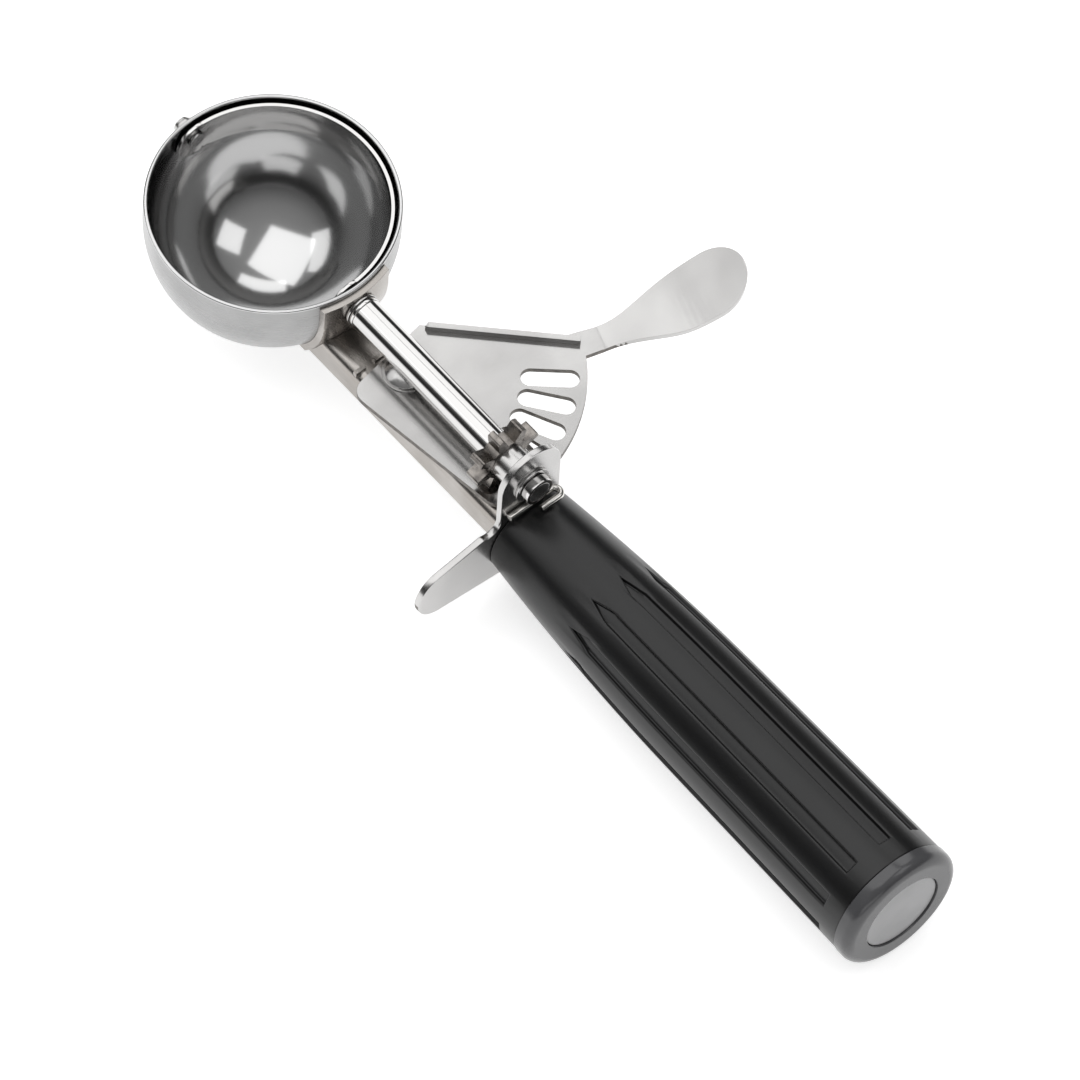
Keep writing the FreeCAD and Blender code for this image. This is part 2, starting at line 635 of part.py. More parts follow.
def make_spring():
    """Return spring: three turns round the rivet, a leg along the stem and an upright hook."""
    top_z = STEM_TOP_Z - STEM_T - SPRING_WIRE_D / 2 - SPRING_DROP
    turns = [coil_point(k, top_z) for k in range(4 * SPRING_TURNS + 1)]
    entry, way = turns[0]
    corner = entry - way * SPRING_HOOK_REACH
    hook_top = V(corner.x, corner.y, PLATE_TOP_Z - SEAT)
    hook_low = corner + V(0, 0, SPRING_BEND_R)
    knee = corner + way * SPRING_BEND_R
    edges = [line(hook_top, hook_low), tangent_arc(hook_low, corner, knee), line(knee, entry)]
    for k in range(len(turns) - 1):
        edges += biarc(turns[k][0], turns[k][1], turns[k + 1][0], turns[k + 1][1])
    last, last_way = turns[-1]
    edges.append(line(last, last + last_way * SPRING_LEG))
    circle = Part.Wire(Part.makeCircle(SPRING_WIRE_D / 2, hook_top, Z_DIR))
    pipe = Part.BRepOffsetAPI.MakePipeShell(Part.Wire(edges))
    pipe.add(circle)
    pipe.build()
    pipe.makeSolid()
    report_gap([place for place, direction in turns])
    spring = pipe.shape()
    if spring.Volume < 0:
        spring.reverse()
    return spring


def report_gap(points):
    """Print the least gap between one turn of the spring and the next."""
    least = min(abs(points[k + 4].z - points[k].z) for k in range(len(points) - 4))
    print("return_spring: least gap between turns", round(least - SPRING_WIRE_D, 3), "mm")


def make_guard():
    """Finger guard: one flat plate with an ear round the shaft and an arm for the finger."""
    ear_z = AXIS_Z + EAR_RISE
    top = V(GUARD_X, 0, ear_z + EAR_R)
    left = V(GUARD_X, -EAR_R, ear_z)
    right = V(GUARD_X, EAR_R, ear_z)
    neck = V(GUARD_X, -EAR_R, GUARD_NECK_Z)
    arm_top = V(GUARD_X, GUARD_ARM_TOP[0], GUARD_ARM_TOP[1])
    arm_end = V(GUARD_X, GUARD_ARM_END[0], GUARD_ARM_END[1])
    arm_low = V(GUARD_X, GUARD_ARM_LOW[0], GUARD_ARM_LOW[1])
    body_low = V(GUARD_X, 0, HANDLE_AXIS_Z - HANDLE_FRONT_R)
    low_left = V(GUARD_X, -HANDLE_FRONT_R * GUARD_FOOT[0],
                 HANDLE_AXIS_Z - HANDLE_FRONT_R * GUARD_FOOT[1])
    body_right = V(GUARD_X, EAR_R, HANDLE_AXIS_Z + HANDLE_FRONT_R * GUARD_RIGHT_RISE)
    low_right = V(GUARD_X, EAR_R * GUARD_TOE[0], HANDLE_AXIS_Z - HANDLE_FRONT_R * GUARD_TOE[1])
    elbow = V(GUARD_X, -EAR_R - GUARD_NECK_R * GUARD_ELBOW[0],
              GUARD_NECK_Z - GUARD_NECK_R * GUARD_ELBOW[1])
    shoulder = V(GUARD_X, -EAR_R - GUARD_NECK_R,
                 GUARD_NECK_Z - GUARD_NECK_R * GUARD_SHOULDER_DROP)
    edges = [
        arc(right, top, left),
        line(left, neck),
        arc(neck, elbow, shoulder),
        line(shoulder, arm_top),
        arc(arm_top, arm_end, arm_low),
        line(arm_low, low_left),
        line(low_left, body_low),
        arc(body_low, low_right, body_right),
        line(body_right, right),
    ]
    plate = Part.Face(Part.Wire(edges)).extrude(V(GUARD_T, 0, 0))
    plate = plate.cut(rod_x(0, FAR, EAR_BUSH_D + 2 * SEAT))
    socket = TANG_W / 2 + SEAT
    return plate.cut(block(0, FAR, -socket, socket, TANG_LOW_Z - SEAT, TANG_TOP_Z + SEAT))


def make_ear_bush():
    """Flanged bush that the shaft's end turns in."""
    body = rod_x(GUARD_X, GUARD_BACK_X, EAR_BUSH_D)
    flange = rod_x(GUARD_BACK_X, GUARD_BACK_X + EAR_FLANGE_T, EAR_FLANGE_D)
    return body.fuse(flange).removeSplitter().cut(rod_x(0, FAR, SHAFT_D + 2 * RUN_FIT))


def make_tang():
    """Bar riveted under the stem's top that carries the grip."""
    half = TANG_W / 2
    bar = block(TANG_START_X, TANG_END_X, -half, half, TANG_LOW_Z, TANG_TOP_Z)
    bar = filleted(bar, TANG_END_ROUND, lambda e: e.BoundBox.XMin > TANG_END_X - 0.01)
    for x in TANG_RIVET_X:
        bar = bar.cut(rod_z(TANG_LOW_Z - MARGIN, TANG_TOP_Z + MARGIN, TANG_RIVET_D + 2 * SEAT, x))
    return bar


def make_tang_rivets():
    """Two flush-topped rivets that hold the tang in the stem."""
    rivets = []
    for x in TANG_RIVET_X:
        shank = rod_z(TANG_LOW_Z - SEAT, STEM_TOP_Z, TANG_RIVET_D, x)
        head = rod_z(TANG_LOW_Z - SEAT - TANG_RIVET_HEAD_T, TANG_LOW_Z - SEAT,
                     TANG_RIVET_HEAD_D, x)
        rivets.append(shank.fuse(head).removeSplitter())
    return Part.makeCompound(rivets)


def grip_blank():
    """Turned blank of the grip, swelling from the guard to the butt."""
    front = V(HANDLE_FRONT_X, 0, 0)
    front_r = V(HANDLE_FRONT_X, 0, HANDLE_FRONT_R)
    run = HANDLE_MID_X - HANDLE_FRONT_X
    gain = HANDLE_MID_R - HANDLE_FRONT_R
    swell = V(HANDLE_FRONT_X + run * SWELL_X, 0, HANDLE_FRONT_R + gain * SWELL_R)
    mid = V(HANDLE_MID_X, 0, HANDLE_MID_R)
    rear = V(CAP_X - SEAT, 0, HANDLE_REAR_R)
    outline = Part.Wire([
        line(front, front_r),
        arc(front_r, swell, mid),
        line(mid, rear),
        line(rear, V(CAP_X - SEAT, 0, 0)),
        line(V(CAP_X - SEAT, 0, 0), front),
    ])
    return Part.Face(outline).revolve(V(0, 0, 0), X_DIR, 360)


def flute_cutter():
    """One flat-floored flute: pointed in front, square behind, along the grip's taper."""
    half = FLUTE_W / 2
    point_x = FLUTE_START_X + FLUTE_POINT_L
    plan = [V(FLUTE_START_X, 0, 0), V(point_x, -half, 0), V(FLUTE_END_X, -half, 0),
            V(FLUTE_END_X, half, 0), V(point_x, half, 0)]
    return Part.Face(closed(plan)).extrude(V(0, 0, FAR))


def make_grip():
    """Moulded grip with its flutes, the tang's socket and the cap's socket."""
    blank = grip_blank()
    blank = filleted(blank, GRIP_FRONT_ROUND, lambda e: e.BoundBox.XMax < HANDLE_FRONT_X + 0.01
                     and e.BoundBox.YLength > HANDLE_FRONT_R)
    core = grip_blank()
    shrink = FreeCAD.Matrix()
    factor = (HANDLE_REAR_R - FLUTE_DEPTH) / HANDLE_REAR_R
    shrink.scale(1.0, factor, factor)
    core = core.transformGeometry(shrink)
    cutter = flute_cutter().cut(core)
    for k in range(FLUTES):
        flute = cutter.copy()
        flute.rotate(V(0, 0, 0), X_DIR, FLUTE_PHASE_DEG + k * 360.0 / FLUTES)
        blank = blank.cut(flute)
    blank.translate(V(0, 0, HANDLE_AXIS_Z))
    half = TANG_W / 2 + SEAT
    blank = blank.cut(block(0, TANG_END_X + AXIAL_PLAY, -half, half,
                            TANG_LOW_Z - SEAT, TANG_TOP_Z + SEAT))
    spigot = 2 * (CAP_SPIGOT_R + SEAT)
    return blank.cut(rod_x(CAP_X - CAP_SPIGOT_L - AXIAL_PLAY, FAR, spigot, 0, HANDLE_AXIS_Z))


def make_cap():
    """Glossy end cap with a rounded edge, a spigot into the grip and a round recess."""
    head = rod_x(CAP_X, HANDLE_END_X, 2 * CAP_R, 0, HANDLE_AXIS_Z)
    head = filleted(head, CAP_EDGE_R, lambda e: e.BoundBox.XMin > HANDLE_END_X - 0.01)
    spigot = rod_x(CAP_X - CAP_SPIGOT_L, CAP_X, 2 * CAP_SPIGOT_R, 0, HANDLE_AXIS_Z)
    cap = head.fuse(spigot).removeSplitter()
    depth = DISC_T + DISC_SINK
    recess = rod_x(HANDLE_END_X - depth, FAR, 2 * (DISC_R + SEAT), 0, HANDLE_AXIS_Z)
    return cap.cut(recess)


def make_disc():
    """Plain disc let into the end cap."""
    back = HANDLE_END_X - DISC_T - DISC_SINK
    disc = rod_x(back, back + DISC_T, 2 * DISC_R, 0, HANDLE_AXIS_Z)
    return filleted(disc, DISC_ROUND, lambda e: e.BoundBox.XMin > back + DISC_T - 0.01)


def make_clip():
    """Hairpin of wire on the guard's back, just above the grip."""
    back_x = CLIP_X + 2 * CLIP_BEND_R
    start = V(CLIP_X, CLIP_LONG_Y, CLIP_Z)
    path = Part.Wire([
        line(start, V(CLIP_X, CLIP_BEND_Y, CLIP_Z)),
        arc(V(CLIP_X, CLIP_BEND_Y, CLIP_Z), V(CLIP_X + CLIP_BEND_R, CLIP_BEND_Y + CLIP_BEND_R, CLIP_Z),
            V(back_x, CLIP_BEND_Y, CLIP_Z)),
        line(V(back_x, CLIP_BEND_Y, CLIP_Z), V(back_x, CLIP_SHORT_Y, CLIP_Z)),
    ])
    circle = Part.Wire(Part.makeCircle(CLIP_WIRE_D / 2, start, V(0, 1, 0)))
    return path.makePipeShell([circle], True, False)


def build():
    """Make every piece and write one file for each."""
    pieces = {
        "bowl": make_bowl(),
        "bowl_saddle": make_saddle(),
        "near_bush": make_near_bush(),
        "far_bush": make_far_bush(),
        "stem_channel": make_stem(),
        "pivot_rivet": make_rivet(),
        "pivot_washer": washer(STEM_TOP_Z, PIVOT_WASHER_T, PIVOT_WASHER_D, RIVET_SHANK_D + 2 * SEAT),
        "return_spring": make_spring(),
        "guard_plate": make_guard(),
        "ear_bush": make_ear_bush(),
        "wire_clip": make_clip(),
        "tang_bar": make_tang(),
        "tang_rivets": make_tang_rivets(),
        "handle_grip": make_grip(),
        "end_cap": make_cap(),
        "cap_disc": make_disc(),
        "scraper_blade": make_blade(),
        "far_pin": make_far_pin(),
        "blade_shaft": make_shaft(),
        "shaft_sleeve": make_sleeve(),
        "sleeve_collar": make_collar(),
        "pinion": make_pinion(),
        "pinion_hub": make_pinion_hub(),
        "shaft_end_nut": make_end_nut(),
        "lever_plate": make_lever(),
        "hub_washer": washer(PLATE_TOP_Z, HUB_WASHER_T, HUB_WASHER_D, RIVET_SHANK_D + 2 * RUN_FIT),
    }
    os.makedirs("parts", exist_ok=True)
    for name, shape in pieces.items():
        if not shape.isValid():
            print("not valid:", name)
        print(name, "solids", len(shape.Solids), "volume", round(shape.Volume, 2))
        shape.exportStep("parts/" + name + ".step")


build()
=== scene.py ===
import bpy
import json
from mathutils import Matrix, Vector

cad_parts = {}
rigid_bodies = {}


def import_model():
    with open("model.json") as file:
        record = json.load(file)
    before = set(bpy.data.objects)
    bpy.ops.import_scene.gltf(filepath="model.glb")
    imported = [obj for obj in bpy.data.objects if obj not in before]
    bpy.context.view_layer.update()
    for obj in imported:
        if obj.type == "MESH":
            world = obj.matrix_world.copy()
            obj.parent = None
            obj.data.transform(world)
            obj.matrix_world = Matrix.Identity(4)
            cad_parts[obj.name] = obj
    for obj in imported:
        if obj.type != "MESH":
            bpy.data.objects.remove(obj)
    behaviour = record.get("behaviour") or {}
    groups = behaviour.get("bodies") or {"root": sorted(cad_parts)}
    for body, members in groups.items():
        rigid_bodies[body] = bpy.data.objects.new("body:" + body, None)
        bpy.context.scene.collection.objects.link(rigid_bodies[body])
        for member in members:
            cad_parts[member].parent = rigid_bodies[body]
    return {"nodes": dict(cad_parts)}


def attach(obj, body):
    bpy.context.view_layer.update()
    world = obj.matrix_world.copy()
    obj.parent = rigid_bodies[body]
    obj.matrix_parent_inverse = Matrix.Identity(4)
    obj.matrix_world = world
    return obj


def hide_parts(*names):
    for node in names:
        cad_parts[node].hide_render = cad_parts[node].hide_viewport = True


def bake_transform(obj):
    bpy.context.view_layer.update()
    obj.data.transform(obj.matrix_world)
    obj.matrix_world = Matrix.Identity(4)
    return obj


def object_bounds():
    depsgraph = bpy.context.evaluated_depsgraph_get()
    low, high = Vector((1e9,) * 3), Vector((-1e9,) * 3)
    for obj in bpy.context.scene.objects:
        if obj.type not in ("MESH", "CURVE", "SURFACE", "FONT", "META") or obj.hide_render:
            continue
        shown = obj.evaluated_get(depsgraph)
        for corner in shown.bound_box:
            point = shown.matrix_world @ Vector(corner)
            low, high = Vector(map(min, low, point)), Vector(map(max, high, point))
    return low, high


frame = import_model()
CAD_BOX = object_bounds()

import json
import math

import bpy
from mathutils import Matrix, Vector

MM = 0.001

# Camera: a long lens, above and behind the butt, on the thumb lever's far side
IMAGE_PX = 1080
PX_PER_MM = 5.1074
VIEW_AZIMUTH_DEG = -43.407               # from +X towards +Y
VIEW_ELEVATION_DEG = 58.273
VIEW_ROLL_DEG = 3.842
VIEW_TARGET = Vector((77.387, 4.657, -32.781)) * MM
VIEW_DISTANCE = 5000 * MM
SENSOR = 36.0                            # the film's width in millimetres
VIEW_REACH = 20.0                        # metres that the camera sees

# Main sizes in millimetres, the same as the solids have
BOWL_R = 25.5
BOWL_RI = 24.6
AXIS_Z = -5.3
SLEEVE = (28.5, 68.3, 3.35, 2.52)        # start, end, outer and inner radius
COLLAR = (27.7, 28.5, 3.55, 2.52)
HUB = (71.7, 75.7, 4.0, 2.52)
PLATE_Z = (-12.75, -11.45)
GRIP_Z = -21.8
GRIP_FRONT_X = 78.82
GRIP_MID_X = 134.0
GRIP_REAR_X = 187.38
GRIP_FRONT_R = 9.8
GRIP_MID_R = 13.2
GRIP_REAR_R = 14.0
GRIP_SWELL = (0.48, 0.66)                # a point on the swell: share of the run, of the gain
TANG_SOCKET = (150.2, 4.02, -20.72, -14.68)   # end, half width, bottom and top
CAP_END_X = 191.3
CAP_R = 14.2
CAP_EDGE_R = 2.2
DISC_R = 8.9
DISC_SINK = 0.4
DISC_GAP = 0.1
CAP_GAP = 0.02

# The grip's flutes, pressed in between columns of faces
FLUTES = 10
FLUTE_PHASE_DEG = 27.0
FLUTE_COLUMNS = 4                        # of the 12 columns between one flute and the next
FLUTE_PITCH_COLUMNS = 12
FLUTE_START_X = 104.0
FLUTE_POINT_L = 5.0
FLUTE_POINT_ROOM = 1.2                   # the first row of faces, as a share of the point
FLUTE_TIP_REACH = 0.4                    # along the grip, to find the corners of a flute's start
FLUTE_TIP_COLUMNS = 0.1                  # across it
FLUTE_END_X = 182.5
FLUTE_DEPTH = 0.9

# Studio, in metres
FLOOR_SIZE = 6.0
FLOOR_GAP = 0.2 * MM
FLOOR_GLOW = 0.6
LAMP_AIM = (0.060, 0, -0.015)
LAMPS = (                                # name, direction, distance, size, brightness
    ("overhead", (-0.22, -0.09, 0.97), 1.2, (1.05, 1.05), 1.2),
    ("behind", (-0.46, 0.52, 0.72), 1.2, (0.8, 0.6), 1.2),
    ("left", (-0.63, -0.50, 0.60), 1.1, (0.7, 0.6), 1.0),
    ("right", (0.45, 0.38, 0.81), 1.1, (0.5, 0.45), 1.1),
    ("front", (0.85, -0.50, 0.30), 1.1, (0.9, 0.3), 1.0),
)
ROOM_FILL = "#b4b4b4"                    # what dull surfaces get from the room
ROOM_HORIZON = "#dcdcdc"
ROOM_TOP = "#a4a4a4"
ROOM_BANDS = ((0.05, "#c8c8c8"), (0.12, "#262626"), (0.40, "#3a3a3a"), (0.70, "#8c8c8c"))

# Patterns: how much fine noise lies on the coarse, and where a patch turns dark and light
GRAIN_DETAIL = 3.0
PATCH_DETAIL = 2.0
PATCH_DARK = 0.35
PATCH_LIGHT = 0.65

# Edge rounds and the fineness of the sheet and turned parts
SHEET_EDGE = 0.22 * MM
FINE_EDGE = 0.12 * MM
MOULD_EDGE = 0.35 * MM
SMOOTH_DEG = 32.0
MERGE_GAP = 0.002 * MM
SEAM_GAP = 0.001 * MM
FLAT_DEG = 0.4
FLAT_WEIGHT = 60                         # how far large flat faces steer the shading
RIM_EDGE = 0.3 * MM
DISC_EDGE = 0.3 * MM
EDGE_ON = 0.3                            # a side of the guard's sheet has less of its normal along X; the downward-facing sides get the dark edge colour as painted shade
LEVEL = 0.95                             # a side of the lever's sheet has less of it upright
END_ON = 0.5                             # the nut's end has more of it along X; those faces get a painted dark reflection
DISC_T = 0.8
BOWL_ARC_STEPS = 32
CAP_ARC_STEPS = 8
TURN_STEPS = 144                         # of the large round pieces
TUBE_STEPS = 96
BORE_STEPS = 48
INSIDE_TILT = -0.2                       # faces that look inwards by more are polished
RIM_BAND = 2 * RIM_EDGE                  # of the rim, polished too
NEAR_BORE_R = 3.22
FAR_BORE_R = 1.25
GRIP_ROW = 2.5


def linear(code):
    """Turn an sRGB hex colour into the linear colour that shaders use."""
    parts = [int(code[i:i + 2], 16) / 255 for i in (1, 3, 5)]
    return tuple(c / 12.92 if c <= 0.04045 else ((c + 0.055) / 1.055) ** 2.4 for c in parts) + (1.0,)


def add(tree, kind, settings=None, links=None):
    """Add a node, set its properties and socket values, and link its inputs."""
    made = tree.nodes.new(kind)
    for key, value in (settings or {}).items():
        if isinstance(key, str) and hasattr(made, key):
            setattr(made, key, value)
        else:
            made.inputs[key].default_value = value
    for key, source in (links or {}).items():
        tree.links.new(source, made.inputs[key])
    return made


def material(name, colour, metallic, roughness, **values):
    """Start a material: its shader with the constant values on the shader's own sockets."""
    made = bpy.data.materials.new(name)
    made.use_nodes = True
    tree = made.node_tree
    shader = tree.nodes["Principled BSDF"]
    shader.inputs["Base Color"].default_value = linear(colour)
    shader.inputs["Metallic"].default_value = metallic
    shader.inputs["Roughness"].default_value = roughness
    for key, value in values.items():
        shader.inputs[key.replace("_", " ")].default_value = value
    return made, tree, shader


def brushed_coordinates(tree, stretch):
    """Object coordinates squeezed along some axes, so that noise becomes streaks."""
    place = add(tree, "ShaderNodeTexCoord")
    return add(tree, "ShaderNodeMapping", {"Scale": stretch}, {"Vector": place.outputs["Object"]})


def spun_coordinates(tree):
    """Distance from the bowl's own axis and height, so that noise becomes turning rings."""
    place = add(tree, "ShaderNodeTexCoord")
    parts = add(tree, "ShaderNodeSeparateXYZ", links={"Vector": place.outputs["Object"]})
    flat = add(tree, "ShaderNodeCombineXYZ", links={"X": parts.outputs["X"], "Y": parts.outputs["Y"]})
    radius = add(tree, "ShaderNodeVectorMath", {"operation": "LENGTH"}, {0: flat.outputs["Vector"]})
    return add(tree, "ShaderNodeCombineXYZ",
               links={"X": radius.outputs["Value"], "Z": parts.outputs["Z"]})


def grained(tree, shader, where, grain_mm, low, high, bump_mm):
    """Noise of a real grain size that varies the roughness and lifts a fine bump."""
    noise = add(tree, "ShaderNodeTexNoise", {"Scale": 1 / (grain_mm * MM), "Detail": GRAIN_DETAIL},
                {"Vector": where})
    spread = add(tree, "ShaderNodeMapRange", {"To Min": low, "To Max": high},
                 {"Value": noise.outputs["Fac"]})
    tree.links.new(spread.outputs["Result"], shader.inputs["Roughness"])
    bump = add(tree, "ShaderNodeBump", {"Distance": bump_mm * MM, "Strength": 1.0},
               {"Height": noise.outputs["Fac"]})
    tree.links.new(bump.outputs["Normal"], shader.inputs["Normal"])


def tinted(tree, shader, where, patch_mm, dark, light):
    """Slow patches between two close colours."""
    cloud = add(tree, "ShaderNodeTexNoise", {"Scale": 1 / (patch_mm * MM), "Detail": PATCH_DETAIL},
                {"Vector": where})
    ramp = add(tree, "ShaderNodeValToRGB", links={"Fac": cloud.outputs["Fac"]})
    ramp.color_ramp.elements[0].position = PATCH_DARK
    ramp.color_ramp.elements[0].color = linear(dark)
    ramp.color_ramp.elements[1].position = PATCH_LIGHT
    ramp.color_ramp.elements[1].color = linear(light)
    tree.links.new(ramp.outputs["Color"], shader.inputs["Base Color"])


def spun_stainless():
    """Stainless sheet spun to a satin: fine rings about the bowl's axis blur the reflections."""
    made, tree, shader = material("spun_stainless_satin", "#9e9e9e", 1.0, 0.28)
    rings = spun_coordinates(tree).outputs["Vector"]
    grained(tree, shader, rings, 0.5, 0.22, 0.34, 0.004)
    place = add(tree, "ShaderNodeTexCoord")
    tinted(tree, shader, place.outputs["Object"], 9.0, "#999999", "#a4a4a4")
    return made


def polished_bowl_steel():
    """The bowl's polished inside: nearly a mirror, with faint spin rings."""
    made, tree, shader = material("polished_stainless_spun", "#c8c8c8", 1.0, 0.12)
    rings = spun_coordinates(tree).outputs["Vector"]
    grained(tree, shader, rings, 0.8, 0.08, 0.15, 0.0015)
    return made


def mirror_stainless():
    """Mirror-polished stainless rod and blade, with faint handling marks."""
    made, tree, shader = material("mirror_polished_stainless", "#d0cfce", 1.0, 0.08)
    streaks = brushed_coordinates(tree, (0.08, 1.0, 1.0)).outputs["Vector"]
    grained(tree, shader, streaks, 0.3, 0.05, 0.12, 0.0008)
    return made


def bright_sheet():
    """Bright rolled stainless sheet, lightly brushed along its length."""
    made, tree, shader = material("bright_rolled_stainless", "#bfbebd", 1.0, 0.2)
    streaks = brushed_coordinates(tree, (0.06, 1.0, 1.0)).outputs["Vector"]
    grained(tree, shader, streaks, 0.22, 0.16, 0.27, 0.0018)
    place = add(tree, "ShaderNodeTexCoord")
    tinted(tree, shader, place.outputs["Object"], 14.0, "#bab9b8", "#c4c3c2")
    return made


def lever_sheet():
    """The lever's bright sheet, a little whiter than the stem's."""
    made, tree, shader = material("polished_stainless_sheet", "#b9b8b7", 1.0, 0.16)
    streaks = brushed_coordinates(tree, (1.0, 0.08, 1.0)).outputs["Vector"]
    grained(tree, shader, streaks, 0.25, 0.13, 0.22, 0.0015)
    place = add(tree, "ShaderNodeTexCoord")
    tinted(tree, shader, place.outputs["Object"], 16.0, "#b2b1b0", "#c0bfbe")
    return made


def sheared_edge_and_painted_shade():
    """The torn, darker edge that a punch leaves on sheet; on the guard's downward-facing edges the
    same dark colour is painted shade.
    """
    made, tree, shader = material("sheared_edge_and_painted_underside_shade", "#6a6764", 1.0, 0.42)
    place = add(tree, "ShaderNodeTexCoord")
    grained(tree, shader, place.outputs["Object"], 0.15, 0.34, 0.5, 0.01)
    tinted(tree, shader, place.outputs["Object"], 0.8, "#5b5855", "#78746f")
    return made


def drawn_stem():
    """The stem's drawn channel: duller stainless with faint draw marks along it."""
    made, tree, shader = material("drawn_stainless_channel", "#aaa6a2", 1.0, 0.24)
    streaks = brushed_coordinates(tree, (0.05, 1.0, 1.0)).outputs["Vector"]
    grained(tree, shader, streaks, 0.3, 0.18, 0.32, 0.002)
    place = add(tree, "ShaderNodeTexCoord")
    tinted(tree, shader, place.outputs["Object"], 10.0, "#a19c97", "#b2aeaa")
    return made


def nickel_plate():
    """Stamped steel under warm nickel plate, which is a little dull in the tooth gaps; the duller
    patches here fall at random.
    """
    made, tree, shader = material("nickel_plated_stamping", "#8a8682", 1.0, 0.26)
    place = add(tree, "ShaderNodeTexCoord")
    grained(tree, shader, place.outputs["Object"], 0.4, 0.2, 0.38, 0.004)
    tinted(tree, shader, place.outputs["Object"], 1.6, "#6c6865", "#98938e")
    return made


def spring_wire():
    """Drawn stainless wire; its die lines are given only as a fine random grain."""
    made, tree, shader = material("drawn_stainless_wire", "#d6d4d0", 1.0, 0.16)
    place = add(tree, "ShaderNodeTexCoord")
    grained(tree, shader, place.outputs["Object"], 0.25, 0.12, 0.22, 0.0015)
    return made


def painted_dark_nut_end():
    """Dark satin steel for the nut's end face: a painted dark reflection, with random lighter
    patches.
    """
    made, tree, shader = material("nut_end_painted_dark_reflection", "#3a3735", 1.0, 0.34)
    place = add(tree, "ShaderNodeTexCoord")
    grained(tree, shader, place.outputs["Object"], 0.3, 0.26, 0.42, 0.003)
    tinted(tree, shader, place.outputs["Object"], 1.2, "#2c2a28", "#5a5652")
    return made


def black_polypropylene():
    """Moulded black polypropylene: deep black with a soft sheen and a fine spark-eroded grain."""
    made, tree, shader = material("moulded_black_polypropylene", "#0b0b0c", 0.0, 0.3, IOR=1.49)
    place = add(tree, "ShaderNodeTexCoord")
    grained(tree, shader, place.outputs["Object"], 0.35, 0.26, 0.36, 0.005)
    tinted(tree, shader, place.outputs["Object"], 18.0, "#0a0a0b", "#0e0e0f")
    return made


def gloss_abs():
    """Glossy dark-grey ABS end cap with a slight orange peel."""
    made, tree, shader = material("gloss_grey_abs", "#4b4b4d", 0.0, 0.16, IOR=1.54)
    place = add(tree, "ShaderNodeTexCoord")
    grained(tree, shader, place.outputs["Object"], 1.2, 0.13, 0.2, 0.004)
    tinted(tree, shader, place.outputs["Object"], 12.0, "#474749", "#505052")
    return made


def satin_abs():
    """Satin light-grey ABS insert disc."""
    made, tree, shader = material("satin_grey_abs", "#a2a2a3", 0.0, 0.34, IOR=1.54)
    place = add(tree, "ShaderNodeTexCoord")
    grained(tree, shader, place.outputs["Object"], 0.4, 0.28, 0.4, 0.003)
    tinted(tree, shader, place.outputs["Object"], 8.0, "#9d9d9e", "#a7a7a8")
    return made


def only(piece):
    """Select one piece alone and make it active."""
    bpy.ops.object.select_all(action="DESELECT")
    piece.select_set(True)
    bpy.context.view_layer.objects.active = piece


def applied(piece, kind, **settings):
    """Add a modifier and apply it."""
    only(piece)
    made = piece.modifiers.new(kind.lower(), kind)
    for key, value in settings.items():
        setattr(made, key, value)
    bpy.ops.object.modifier_apply(modifier=made.name)


def settled(piece, node, body, finish):
    """Give a finished piece its shading, material and body if it rides one, and hide the node it
    stands for.
    """
    only(piece)
    bpy.ops.object.shade_smooth_by_angle(angle=math.radians(SMOOTH_DEG))
    applied(piece, "WEIGHTED_NORMAL", keep_sharp=True, weight=FLAT_WEIGHT)
    piece.data.materials.append(finish)
    if body:
        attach(piece, body)
    else:
        bpy.ops.object.parent_clear(type="CLEAR_KEEP_TRANSFORM")
    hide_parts(node)
    return piece


def rounded(piece, width, segments=2):
    """Round every sharp edge of a piece."""
    applied(piece, "BEVEL", width=width, segments=segments, limit_method="ANGLE",
            angle_limit=math.radians(SMOOTH_DEG), use_clamp_overlap=True)


def dressed(node, body, finish, edge, segments=2):
    """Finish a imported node's shape on a merged copy: soft edges and its real material."""
    source = frame["nodes"][node]
    piece = source.copy()
    piece.data = source.data.copy()
    piece.name = node + "_finished"
    bpy.context.collection.objects.link(piece)
    only(piece)
    bpy.ops.object.mode_set(mode="EDIT")
    bpy.ops.mesh.select_all(action="SELECT")
    bpy.ops.mesh.remove_doubles(threshold=MERGE_GAP)
    bpy.ops.mesh.dissolve_limited(angle_limit=math.radians(FLAT_DEG))
    bpy.ops.object.mode_set(mode="OBJECT")
    piece.data.materials.clear()
    rounded(piece, edge, segments)
    return settled(piece, node, body, finish)


def spun(name, points, axis, steps, is_ring):
    """Spin an outline of points in millimetres about an axis through the first point's height."""
    mesh = bpy.data.meshes.new(name)
    links = [(k, k + 1) for k in range(len(points) - 1)]
    if is_ring:
        links.append((len(points) - 1, 0))
    mesh.from_pydata([Vector(p) * MM for p in points], links, [])
    piece = bpy.data.objects.new(name, mesh)
    bpy.context.collection.objects.link(piece)
    only(piece)
    bpy.ops.object.mode_set(mode="EDIT")
    bpy.ops.mesh.select_all(action="SELECT")
    direction, centre = axis
    bpy.ops.mesh.spin(steps=steps, angle=2 * math.pi, center=Vector(centre) * MM, axis=direction)
    bpy.ops.mesh.select_all(action="SELECT")
    bpy.ops.mesh.remove_doubles(threshold=SEAM_GAP)
    bpy.ops.mesh.normals_make_consistent(inside=False)
    bpy.ops.object.mode_set(mode="OBJECT")
    return piece


def turned(node, body, finish, stations, z, edge, steps=TUBE_STEPS, is_ring=True):
    """A part turned about a line along X from its stations: place along X and radius."""
    points = [(x, 0, z + radius) for x, radius in stations]
    piece = spun(node + "_turned", points, ((1, 0, 0), (0, 0, z)), steps, is_ring)
    rounded(piece, edge)
    return settled(piece, node, body, finish)


def tube(node, finish, sizes):
    """A turned tube round the blade shaft, from its start, end, outer and inner radius."""
    start, end, outer, inner = sizes
    stations = [(start, inner), (start, outer), (end, outer), (end, inner)]
    return turned(node, "blade", finish, stations, AXIS_Z, FINE_EDGE)


